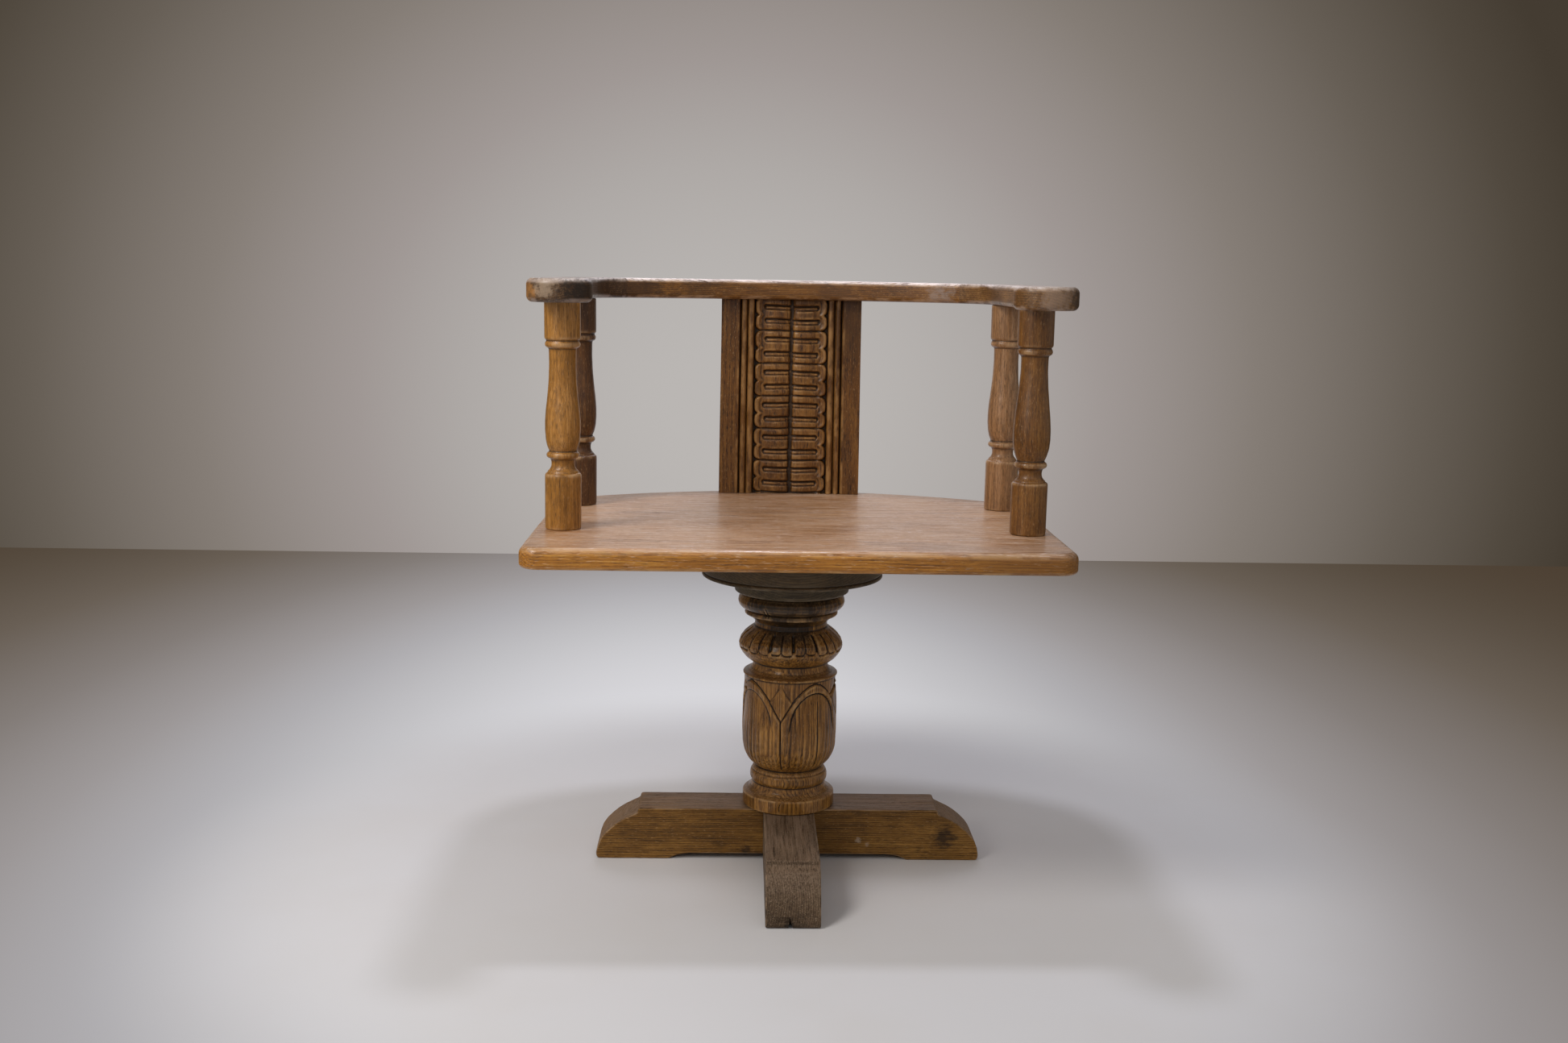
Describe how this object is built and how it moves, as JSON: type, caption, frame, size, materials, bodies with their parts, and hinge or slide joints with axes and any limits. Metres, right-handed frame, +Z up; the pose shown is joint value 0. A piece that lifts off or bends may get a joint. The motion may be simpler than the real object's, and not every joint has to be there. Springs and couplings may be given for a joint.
{
  "type": "swivel armchair",
  "caption": "Low swivel armchair of solid oak: flat D-shaped plank seat, low curved rail on turned spindles and a carved splat, turning on a carved column with a cross foot.",
  "frame": {"origin": "on the floor, on the axis that the seat turns about, within 5 mm of the middle of the footprint", "axes": "+Z up along the swivel axis, +X to the right as seen from the front, -Y to the front of the seat at rest"},
  "size_m": [0.602, 0.489, 0.7086],
  "materials": {
    "foot_oak": "stained oak, dull wax, worn grey at the ends",
    "column_oak": "stained oak, waxed, glossy on the mouldings",
    "disc_oak": "dark stained, dull",
    "seat_oak": "stained oak, polished by use",
    "spindle_oak": "stained oak, waxed",
    "splat_oak": "stained oak, waxed, dark in the carving",
    "rail_oak": "stained oak, waxed, worn on the arms",
    "steel": "plain zinc-plated steel",
    "dowel_beech": "raw beech"
  },
  "bodies": {
    "base": {"foot_beam_side": "foot_oak", "foot_beam_front": "foot_oak", "foot_washer": "steel", "foot_coach_screw": "steel", "column": "column_oak", "cap_disc_small": "disc_oak", "cap_disc_large": "disc_oak", "cap_screw_1": "steel", "cap_screw_2": "steel", "cap_screw_3": "steel", "cap_screw_4": "steel", "swivel_plate_lower": "steel", "plate_screw_lower_1": "steel", "plate_screw_lower_2": "steel", "plate_screw_lower_3": "steel", "plate_screw_lower_4": "steel", "king_bolt": "steel", "king_washer": "steel"},
    "ball_cage": {"bearing_ball_1": "steel", "bearing_ball_2": "steel", "bearing_ball_3": "steel", "bearing_ball_4": "steel", "bearing_ball_5": "steel", "bearing_ball_6": "steel", "bearing_ball_7": "steel", "bearing_ball_8": "steel", "bearing_ball_9": "steel", "bearing_ball_10": "steel", "ball_retainer": "steel"},
    "seat": {"swivel_plate_upper": "steel", "plate_screw_upper_1": "steel", "plate_screw_upper_2": "steel", "plate_screw_upper_3": "steel", "plate_screw_upper_4": "steel", "seat_board_front": "seat_oak", "seat_board_middle": "seat_oak", "seat_board_rear": "seat_oak", "seat_dowel_front_1": "dowel_beech", "seat_dowel_front_2": "dowel_beech", "seat_dowel_front_3": "dowel_beech", "seat_dowel_rear_1": "dowel_beech", "seat_dowel_rear_2": "dowel_beech", "seat_dowel_rear_3": "dowel_beech", "spindle_front_left": "spindle_oak", "spindle_front_right": "spindle_oak", "spindle_rear_left": "spindle_oak", "spindle_rear_right": "spindle_oak", "back_splat": "splat_oak", "arm_left": "rail_oak", "arm_right": "rail_oak", "back_rail": "rail_oak", "rail_dowel_left_1": "dowel_beech", "rail_dowel_left_2": "dowel_beech", "rail_dowel_right_1": "dowel_beech", "rail_dowel_right_2": "dowel_beech"}
  },
  "joints": [
    {"name": "seat_swivel", "type": "hinge", "parent": "base", "child": "seat", "pos_m": [0, 0, 0.3916], "axis": [0, 0, 1], "continuous": true},
    {"name": "cage_turn", "type": "hinge", "parent": "base", "child": "ball_cage", "pos_m": [0, 0, 0.3916], "axis": [0, 0, 1], "continuous": true}
  ],
  "couplings": [
    {"joint": "cage_turn", "follows": "seat_swivel", "ratio": 0.5}
  ]
}
